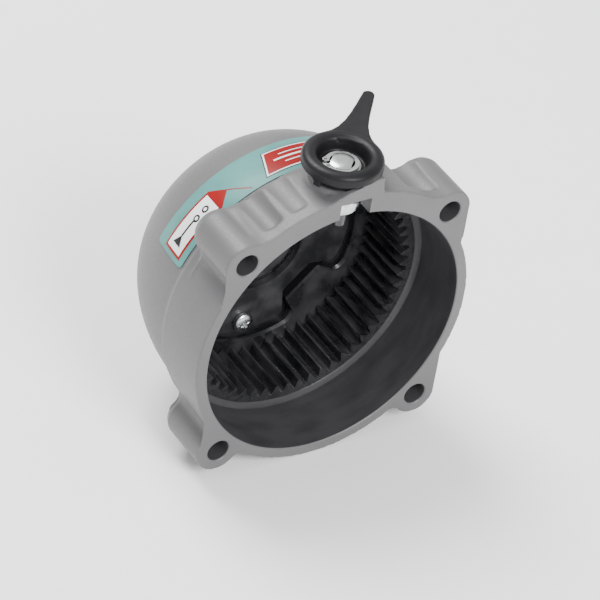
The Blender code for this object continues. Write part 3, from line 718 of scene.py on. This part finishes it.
def grown(outline, margin):
    """A convex (depth, degrees) outline pushed outwards by a margin in millimetres."""
    points = [Vector((depth, degrees * MM_PER_DEGREE)) for depth, degrees in outline]
    middle = sum(points, Vector((0, 0))) / len(points)
    moved = []
    for index, point in enumerate(points):
        before, after = points[index - 1], points[(index + 1) % len(points)]
        first = (point - before).normalized().orthogonal()
        second = (after - point).normalized().orthogonal()
        if first.dot(point - middle) < 0:
            first = -first
        if second.dot(point - middle) < 0:
            second = -second
        corner = (first + second) / (1 + first.dot(second))
        out = point + corner * margin
        moved.append((out.x, out.y / MM_PER_DEGREE))
    return moved


def disc(depth, degrees, radius, count=20):
    """A round (depth, degrees) outline, radius in millimetres."""
    points = arc((0, 0), radius, 0, 2 * math.pi, count)[:-1]
    return [(depth + a, degrees + b / MM_PER_DEGREE) for a, b in points]


def bar(start, end, half):
    """A straight stroke between two (depth, degrees) points."""
    first, last = (Vector((depth, degrees * MM_PER_DEGREE)) for depth, degrees in (start, end))
    side = (last - first).normalized().orthogonal() * half
    corners = [first + side, last + side, last - side, first - side]
    return [(point.x, point.y / MM_PER_DEGREE) for point in corners]


def label():
    """Printed film over the dome: teal ground, blank name plate, and a position panel each side."""
    teal = film("film_teal", (0.085, 0.26, 0.245))
    red = film("film_red", (0.27, 0.0, 0.0))
    white = film("film_white", (0.88, 0.90, 0.90))
    black = film("film_black", (0.012, 0.012, 0.013))
    corner = 1.6
    edge = []
    corners = [(48.8, 23.5, -90), (48.8, 156.5, 0), (29.6, 156.5, 90), (29.6, 23.5, 180)]
    for depth, degrees, start in corners:
        inward_d = -1 if depth > 40 else 1
        inward_a = 1 if degrees < 90 else -1
        middle = (depth + inward_d * corner, degrees + inward_a * corner / MM_PER_DEGREE)
        turn = arc((0, 0), corner, math.radians(start), math.radians(start + 90), 6)
        edge += [(middle[0] + a, middle[1] + b / MM_PER_DEGREE) for a, b in turn]
    ground = print_patch("label_ground", edge, 0.12, teal, 0.2)
    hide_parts("side_label")

    plate = [(31.6, 108.6), (44.8, 103.4), (44.8, 76.6), (31.6, 71.4)]
    print_patch("name_plate_black_line", plate, 0.33, black)
    print_patch("name_plate_white_line", grown(plate, -0.4), 0.38, white)
    print_patch("name_plate_red", grown(plate, -1.0), 0.43, red)
    bars = [bar((38.2, 101.5), (38.2, 78.5), 0.45), bar((35.6, 98.0), (35.6, 82.0), 0.25),
            bar((40.8, 98.0), (40.8, 82.0), 0.25)]
    for number, outline in enumerate(bars):
        print_patch(f"name_plate_bar_{number + 1}", outline, 0.49, white)

    for side, name in ((1, "left"), (-1, "right")):

        def place(outline):
            return [(depth, 90 + side * (degrees - 90)) for depth, degrees in outline]

        panel = [(32.4, 154.6), (43.4, 154.6), (43.4, 128.4), (37.9, 122.6), (32.4, 128.4)]
        print_patch(f"panel_{name}_red", place(panel), 0.35, red)
        inner = [(33.4, 153.5), (42.4, 153.5), (42.4, 129.6), (33.4, 129.6)]
        print_patch(f"panel_{name}_white", place(inner), 0.41, white)
        print_patch(f"panel_{name}_line", place(bar((37.9, 122.8), (31.2, 115.2), 0.22)), 0.33, red)
        marks = [[(35.4, 151.0), (40.4, 151.0), (37.9, 146.8)], bar((37.9, 147.2), (37.9, 139.0), 0.4)]
        for number, outline in enumerate(marks):
            print_patch(f"panel_{name}_mark_{number + 1}", place(outline), 0.45 + 0.04 * number, black)
        for number, degrees in enumerate((138.4, 133.6)):
            print_patch(f"panel_{name}_ring_{number + 1}", place(disc(37.6, degrees, 1.5)), 0.45, black)
            print_patch(f"panel_{name}_eye_{number + 1}", place(disc(37.6, degrees, 0.75)), 0.49, white)


# ---- bearing and shaft fittings that stay as CAD solids -----------------------------------

def dress(node, material, width=0.0):
    """Give a CAD solid its finish, and small rounded edges where it shows."""
    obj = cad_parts[node]
    if obj.material_slots:
        for entry in obj.material_slots:
            entry.material = material
    else:
        obj.data.materials.append(material)
    if width:
        round_edges(obj, width, 2, 50)


casting()
gear()
lever()
shaft()
lever_fittings()
for number in (1, 2):
    plate_screw(number)
label()

dress("retainer_plate", PLATE, 0.35)
dress("bearing_shield_front", PLATE)
dress("bearing_shield_rear", PLATE)
dress("bearing_cage", BRONZE)
dress("bearing_outer_ring", BEARING)
dress("bearing_inner_ring", BEARING, 0.2)
dress("shaft_bush", GREASED)
dress("shaft_o_ring", RUBBER)
dress("shaft_wave_spring", GREASED)
for index in range(8):
    dress(f"bearing_ball_{index + 1}", BEARING)


# ---- floor, light and camera --------------------------------------------------------------

def floor():
    """Pale paper floor under the part's lowest point."""
    n = Nodes("paper_white", roughness=0.9)
    paper = n.noise(40, 3)
    material = n.done(n.mix(n.ramp(paper, 0.3, 0.7), (0.96, 0.96, 0.96), (0.97, 0.97, 0.97)))
    lowest = CAD_BOX[0][2]
    form = bmesh.new()
    bmesh.ops.create_grid(form, x_segments=1, y_segments=1, size=4.0)
    bmesh.ops.translate(form, vec=(0, 0, lowest - 0.0001), verts=form.verts)
    sheet = to_object("floor_sheet", form)
    sheet.data.materials.append(material)


def area_light(name, place, aim, size, power):
    """A round soft light aimed at a point."""
    light = bpy.data.lights.new(name, "AREA")
    light.shape = "DISK"
    light.size = size
    light.energy = power
    obj = bpy.data.objects.new(name, light)
    obj.location = place
    obj.rotation_euler = (Vector(aim) - Vector(place)).to_track_quat("-Z", "Y").to_euler()
    bpy.context.scene.collection.objects.link(obj)


def lights():
    """White surroundings, one light overhead and behind, one high in front."""
    world = bpy.data.worlds.new("soft_white")
    world.use_nodes = True
    background = world.node_tree.nodes["Background"]
    background.inputs["Color"].default_value = (1.0, 1.0, 1.0, 1.0)
    background.inputs["Strength"].default_value = 0.85
    bpy.context.scene.world = world
    area_light("overhead", (-0.2, 0.9, 1.4), (0, 0, 0), 1.0, 46)
    area_light("front_high", (0.0, -1.6, 1.3), (0, 0, 0), 0.9, 54)


def camera():
    """A long lens looking down into the open bore, rolled about nine degrees."""
    right = Vector((0.8468, -0.5151, 0.1328)).normalized()
    back = -Vector((0.4788, 0.6292, -0.6122)).normalized()
    up = back.cross(right).normalized()
    right = up.cross(back)
    data = bpy.data.cameras.new("photo_view")
    data.lens = 240
    data.sensor_width = 36
    data.clip_start = 0.05
    data.clip_end = 20
    obj = bpy.data.objects.new("photo_view", data)
    turn = Matrix((right, up, back)).transposed().to_4x4()
    obj.matrix_world = Matrix.Translation((-0.7026, -0.9000, 0.8959)) @ turn
    bpy.context.scene.collection.objects.link(obj)
    bpy.context.scene.camera = obj


floor()
lights()
camera()
